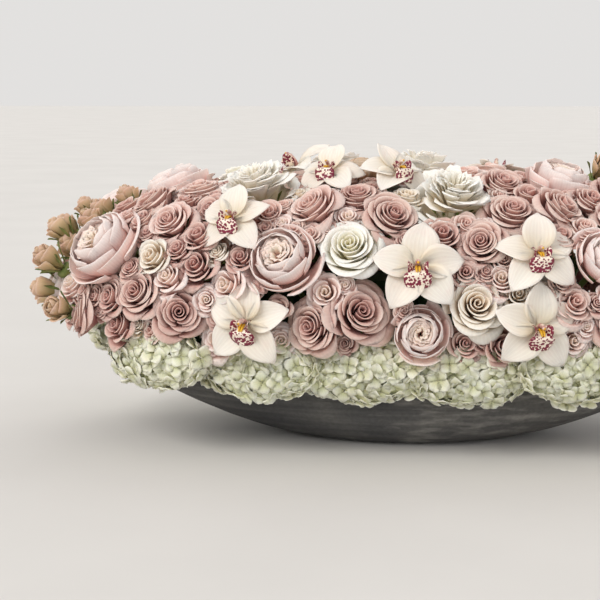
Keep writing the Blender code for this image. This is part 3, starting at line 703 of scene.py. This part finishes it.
def hydrangea(piece, head, material, rng):
    """Pressed mophead covered in florets over a green heart."""
    radius = head["radius"]
    count = int(150 * (radius / 0.060) ** 1.6)
    i = np.arange(count) + 0.5
    z = 1 - 2 * i / count
    ring = np.sqrt(1 - z * z)
    angle = i * GOLDEN
    unit = np.stack([ring * np.cos(angle), ring * np.sin(angle), z], -1)
    unit = unit[unit[:, 2] > -0.55]
    scale = np.where(unit[:, 2:3] > 0, np.array([[1.04, 0.55, 0.40]]), np.array([[1.04, 0.55, 0.24]]))
    shape = unit * scale * (1 + rng.normal(0, 0.06, (len(unit), 1)))
    normal = unit / scale
    normal /= np.linalg.norm(normal, axis=1, keepdims=True)
    turn = np.stack([head["side"], head["over"], head["axis"]], 0)
    spots = head["centre"] + shape * radius @ turn
    spots[:, 2] = np.maximum(spots[:, 2], HYDRANGEA_LOWEST)
    florets(piece, spots, normal @ turn, rng.uniform(0.0115, 0.0150, len(spots)), material, rng)
    core = place(unit * scale * 0.88, head)
    add_hull(piece, core, "heart")


def add_hull(piece, points, material):
    """Closed skin round a cloud of points."""
    shape = bmesh.new()
    for point in points:
        shape.verts.new(point)
    bmesh.ops.convex_hull(shape, input=shape.verts)
    loose = [v for v in shape.verts if not v.link_faces]
    bmesh.ops.delete(shape, geom=loose, context="VERTS")
    bmesh.ops.triangulate(shape, faces=shape.faces)
    shape.verts.index_update()
    skin = np.array([v.co for v in shape.verts])
    faces = np.array([[v.index for v in face.verts] for face in shape.faces])
    shape.free()
    piece.add(skin, faces, material)


FLOWERS = {"rose": rose, "peony_blush": peony, "peony_white": ragged, "ranunculus": ranunculus,
           "bud": bud, "orchid": orchid, "hydrangea": hydrangea}


# ---------------------------------------------------------------- what the frame says

def level_side(axis):
    """Level direction square to an axis, the one the CAD heads use."""
    upright = np.array([0.0, 1.0, 0.0]) if abs(axis[2]) > 0.95 else np.array([0.0, 0.0, 1.0])
    side = np.cross(upright, axis)
    return side / np.linalg.norm(side)


def make_head(kind, centre, axis, radius):
    """A flower's kind, middle, level side, other side, axis and radius."""
    axis = axis / np.linalg.norm(axis)
    side = level_side(axis)
    return {"kind": kind, "centre": centre, "axis": axis, "side": side,
            "over": np.cross(axis, side), "radius": radius}


def family(kind):
    """The flower that a kind is a colour of; the two peonies are built differently."""
    return kind if kind.startswith("peony") else kind.split("_")[0]


def turned_heads(name, points, pairs):
    """Heads of turned flowers, found by their cap: one point with a regular ring round it."""
    kind = SLOTS[name]
    share, lift = CAPS[family(kind)]
    near = [set() for _ in points]
    for first, second in pairs:
        near[first].add(second)
        near[second].add(first)
    heads, petals = [], np.zeros(len(points), bool)
    for number, ring in enumerate(near):
        if len(ring) != CAP_SIDES:
            continue
        ring_points = points[sorted(ring)]
        reach = np.linalg.norm(ring_points - points[number], axis=1)
        if reach.min() < 0.005 or reach.max() - reach.min() > 0.0003:
            continue
        middle = ring_points.mean(0)
        axis = points[number] - middle
        axis /= np.linalg.norm(axis)
        radius = np.linalg.norm(ring_points - middle, axis=1).mean() / share
        heads.append(make_head(kind, points[number] - axis * lift * radius, axis, radius / HEAD_SHARE))
        reached = {number}
        for _ in range(4):
            reached |= set().union(*(near[n] for n in reached))
        petals[list(reached)] = True
    return heads, petals


def lofted_heads(name, points, pairs):
    """Heads of orchids and hydrangeas: what is left when the narrow stem rings are taken out."""
    reach = LOFTED_STEM[family(SLOTS[name])]
    apart = np.linalg.norm(points[:, None] - points[None], axis=-1)
    stem = (apart < reach).sum(1) > 6
    label = np.where(stem, -1, np.arange(len(points)))
    both = pairs[~stem[pairs].any(1)]
    for _ in range(60):
        low = np.minimum(label[both[:, 0]], label[both[:, 1]])
        np.minimum.at(label, both[:, 0], low)
        np.minimum.at(label, both[:, 1], low)
    heads, petals = [], np.zeros(len(points), bool)
    kind = SLOTS[name]
    for number in sorted(set(label[label >= 0])):
        members = label == number
        spread = points[members] - points[members].mean(0)
        if np.linalg.norm(spread, axis=1).max() < 0.010 or members.sum() < 20:
            continue
        touching = pairs[members[pairs[:, 0]] & stem[pairs[:, 1]]][:, 1]
        touching = np.concatenate([touching, pairs[members[pairs[:, 1]] & stem[pairs[:, 0]]][:, 0]])
        neck = points[np.unique(touching)].mean(0)
        axis = points[members].mean(0) - neck
        axis /= np.linalg.norm(axis)
        along = (points[members] - neck) @ axis
        away = np.linalg.norm(points[members] - neck - along[:, None] * axis, axis=1)
        widest = along[away > away.max() * 0.995].mean()
        share, height = WIDEST[family(kind)]
        radius = away.max() / share
        heads.append(make_head(kind, neck + axis * (widest - height * radius), axis, radius / HEAD_SHARE))
        petals |= members
    return heads, petals


def read_node(name):
    """A flower node's heads from left to right, and the points and triangles of its stem."""
    mesh = frame["nodes"][name].data
    raw = np.array([v.co for v in mesh.vertices], float)
    points, index = np.unique(np.round(raw, 5), axis=0, return_inverse=True)
    mesh.calc_loop_triangles()
    triangles = index.ravel()[np.array([t.vertices for t in mesh.loop_triangles])]
    pairs = np.concatenate([triangles[:, [0, 1]], triangles[:, [1, 2]], triangles[:, [2, 0]]])
    find = lofted_heads if family(SLOTS[name]) in WIDEST else turned_heads
    heads, petals = find(name, points, pairs)
    heads.sort(key=lambda head: head["centre"][0])
    for head, kind in zip(heads, SPRAY_KINDS.get(name, [])):
        head["kind"] = kind
    for head in heads:
        head["radius"] *= OPENING.get(family(head["kind"]), USUAL_OPENING)
        if family(head["kind"]) == "orchid":
            head["centre"] = head["centre"] - head["axis"] * ORCHID_SINK
    return heads, points, triangles[~petals[triangles].any(1)]


def mound_point(turn, around):
    """Point of the mound's skin, as the CAD lays its flowers out."""
    def share(degrees, power):
        cosine, sine = math.cos(math.radians(degrees)), math.sin(math.radians(degrees))
        return (math.copysign(abs(cosine) ** (2 / power), cosine),
                math.copysign(abs(sine) ** (2 / power), sine))
    girth, along = share(turn, END_POWER)
    out, up = share(around, SECTION_POWER)
    drop = MOUND_RISE if up > 0 else MOUND_SINK
    return np.array([along * MOUND_LENGTH / 2, -out * girth * MOUND_WIDTH / 2,
                     MOUND_WAIST + up * girth * drop])


def outward(spot):
    """Unit direction from the point that stems aim at to a place on the mound."""
    axis = spot - np.array([spot[0] * ROOT_PULL, 0.0, ROOT_HEIGHT])
    return axis / np.linalg.norm(axis)


def gaps(heads):
    """Places on the mound that no flower covers, widest first, each with its room."""
    centres = np.array([head["centre"] + head["axis"] * head["radius"] * 0.2 for head in heads])
    radii = np.array([head["radius"] * (0.72 if head["kind"] == "orchid" else 0.92) for head in heads])
    flat = np.array([head["kind"] == "hydrangea" for head in heads])
    radii = np.where(flat, radii * 0.62, radii)
    places = np.array([mound_point(turn, around) for turn in GAP_TURNS for around in GAP_ROUNDS])
    past, most = FILLER_CLAIM
    found = []
    for _ in range(MOST_FILLERS):
        room = (np.linalg.norm(places[:, None] - centres[None], axis=-1) - radii[None]).min(1)
        best = int(room.argmax())
        if room[best] < LEAST_ROOM:
            break
        spot = places[best]
        found.append((spot, room[best]))
        centres = np.concatenate([centres, spot[None]])
        radii = np.concatenate([radii, [min(room[best] + past, most)]])
    return found


# ---------------------------------------------------------------- build the flowers

every_head = []
for number, (name, node) in enumerate(sorted(frame["nodes"].items())):
    if name in ("bowl", "floral_foam"):
        continue
    heads, points, stems = read_node(name)
    piece = Piece(name + "_bloom")
    rng = np.random.default_rng(1000 + number)
    for head in heads:
        kind = family(head["kind"])
        if kind in ("orchid", "hydrangea"):
            FLOWERS[kind](piece, head, head["kind"], rng)
        else:
            spin = rng.random() * math.tau
            side = head["side"] * math.cos(spin) + head["over"] * math.sin(spin)
            spun = {**head, "side": side, "over": np.cross(head["axis"], side)}
            FLOWERS[kind](piece, spun, head["kind"], rng)
    if len(stems):
        used, index = np.unique(stems, return_inverse=True)
        piece.add(points[used], index.reshape(-1, 3), "stem")
    piece.build(SLOTS[name], name)
    every_head += heads

fillers = {}
rng = np.random.default_rng(77)
growth, start = FILLER_GROWTH
deepest, widest_room, rise = FILLER_SINK
for spot, room in gaps(every_head):
    size = min(max(room * growth + start, FILLER_RADIUS[0]), FILLER_RADIUS[1])
    axis = outward(spot)
    sunk = deepest - min(room, widest_room) * rise
    head = make_head("filler", spot - axis * (sunk + size * 0.62), axis + rng.normal(0, 0.10, 3), size)
    kind = FILLER_KINDS[int(rng.integers(len(FILLER_KINDS)))]
    end = ("left" if spot[0] < 0 else "right") + ("_front" if spot[1] < 0 else "_back")
    piece = fillers.setdefault((kind, end), Piece("small_" + kind + "_" + end))
    rose(piece, head, kind, rng, petals=16, rows=7)
for (kind, _), piece in fillers.items():
    piece.build(kind)

buds = Piece("loose_buds")
rng = np.random.default_rng(31)
for turn, around, size in LOOSE_BUDS:
    spot = mound_point(turn, around)
    axis = outward(spot) + rng.normal(0, 0.2, 3)
    axis /= np.linalg.norm(axis)
    head = make_head("bud_tan", spot + axis * rng.uniform(0.001, 0.012), axis, size / 1000)
    bud(buds, head, "bud_tan", rng)
    reach = BUD_STEM / head["radius"]
    tube(buds, head, "stem", [(0, 0, -1.2), (0.05, 0.03, -1.2 - reach * 0.5), (0, 0, -1.2 - reach)],
         [0.11, 0.10, 0.10])
buds.build("bud_tan")


# ---------------------------------------------------------------- bowl, foam

def boat_ring(half_length, half_width, height, sides):
    """Level ring with the bowl's pointed plan."""
    angle = np.linspace(0, math.tau, sides, endpoint=False)
    along = np.sign(np.cos(angle)) * np.abs(np.cos(angle)) ** (2 / PLAN_POWER)
    across = np.sign(np.sin(angle)) * np.abs(np.sin(angle)) ** (2 / PLAN_POWER)
    return np.stack([along * half_length, across * half_width, np.full(sides, height)], -1)


def bowl_piece():
    """The boat-shaped bowl with an eased, slightly uneven cast rim."""
    length, width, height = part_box("bowl")[1]
    sides, levels = BOWL_SIDES, BOWL_LEVELS
    outside, inside = [], []
    for level in range(levels + 1):
        climb = math.pi / 2 * level / levels
        rise = 1 - math.cos(climb)
        outside.append(boat_ring(FOOT[0] + (length - FOOT[0]) * rise ** TIP_FLARE,
                                 FOOT[1] + (width - FOOT[1]) * math.sin(climb),
                                 (height - RIM_EASE) * rise, sides))
        inner = length - TIP_WALL - FOOT[0] + SIDE_WALL
        inside.append(boat_ring(FOOT[0] - SIDE_WALL + inner * rise ** TIP_FLARE,
                                FOOT[1] - SIDE_WALL + (width - FOOT[1]) * math.sin(climb),
                                FLOOR + (height - FLOOR - RIM_EASE) * rise, sides))
    rim = [boat_ring(length - 0.0006, width - 0.0006, height - 0.0008, sides),
           boat_ring(length - 0.0022, width - 0.0022, height, sides),
           boat_ring(length - 0.0178, width - 0.0078, height, sides),
           boat_ring(length - 0.0194, width - 0.0094, height - 0.0008, sides)]
    rings = outside + rim + inside[::-1]
    points = np.concatenate(rings)
    rng = np.random.default_rng(5)
    waves = rng.normal(0, CAST_PITCH, (CAST_WAVES, 3))
    phases = rng.random(CAST_WAVES) * math.tau
    wobble = sum(np.sin(points @ wave + phase) for wave, phase in zip(waves, phases)) / CAST_WAVES
    middle = np.array([0, 0, height * 1.4])
    inward = middle - points
    inward /= np.linalg.norm(inward, axis=1, keepdims=True)
    points = points + inward * (np.abs(wobble) * CAST_DEPTH * (points[:, 2] > 0.004))[:, None]
    index = np.arange(sides)
    after = np.roll(index, -1)
    quads = [np.stack([n * sides + index, n * sides + after,
                       (n + 1) * sides + after, (n + 1) * sides + index], -1)
             for n in range(len(rings) - 1)]
    last = len(points) - sides
    fans = [(0, n + 1, n) for n in range(1, sides - 1)]
    fans += [(last, last + n, last + n + 1) for n in range(1, sides - 1)]
    piece = Piece("stone_bowl")
    piece.add(points, np.concatenate(quads), "stone")
    piece.faces.append((np.array(fans), 0))
    piece.build("bowl_stone", "bowl")


bowl_piece()
foam = frame["nodes"]["floral_foam"]
foam.data.materials.clear()
foam.data.materials.append(
    plain_material("wet_floral_foam", srgb(22, 50, 26), srgb(44, 76, 40), 180, 0.95))


# ---------------------------------------------------------------- floor, lights, camera

def studio():
    """Pale floor, even world light and three soft suns."""
    mesh = bpy.data.meshes.new("floor")
    half = FLOOR_HALF
    mesh.from_pydata([(-half, -half, 0), (half, -half, 0), (half, half, 0), (-half, half, 0)],
                     [], [(0, 1, 2, 3)])
    thing = bpy.data.objects.new("floor", mesh)
    mesh.materials.append(plain_material("pale_floor", srgb(206, 204, 201), srgb(211, 209, 206), 3, 0.8,
                                         bump=0.02))
    bpy.context.scene.collection.objects.link(thing)
    world = bpy.data.worlds.new("studio")
    world.use_nodes = True
    world.node_tree.nodes["Background"].inputs["Color"].default_value = WORLD_COLOUR
    world.node_tree.nodes["Background"].inputs["Strength"].default_value = 1.0
    bpy.context.scene.world = world
    for name, (spot, angle, power, colour) in SUNS.items():
        light = bpy.data.lights.new(name, "SUN")
        light.angle = angle
        light.energy = power
        light.color = colour
        lamp = bpy.data.objects.new(name, light)
        lamp.location = spot
        aim = Vector(SUN_AIM) - Vector(spot)
        lamp.rotation_euler = aim.to_track_quat("-Z", "Y").to_euler()
        bpy.context.scene.collection.objects.link(lamp)


def camera():
    """Camera a little above the bowl, turned so that the right end leaves the picture."""
    lens = bpy.data.cameras.new("camera")
    lens.lens = LENS
    lens.sensor_width = SENSOR
    thing = bpy.data.objects.new("camera", lens)
    thing.location = CAMERA_PLACE
    thing.rotation_euler = (math.radians(CAMERA_TILT), 0, math.radians(CAMERA_PAN))
    bpy.context.scene.collection.objects.link(thing)
    bpy.context.scene.camera = thing


studio()
camera()
bpy.context.scene.view_settings.view_transform = "Standard"
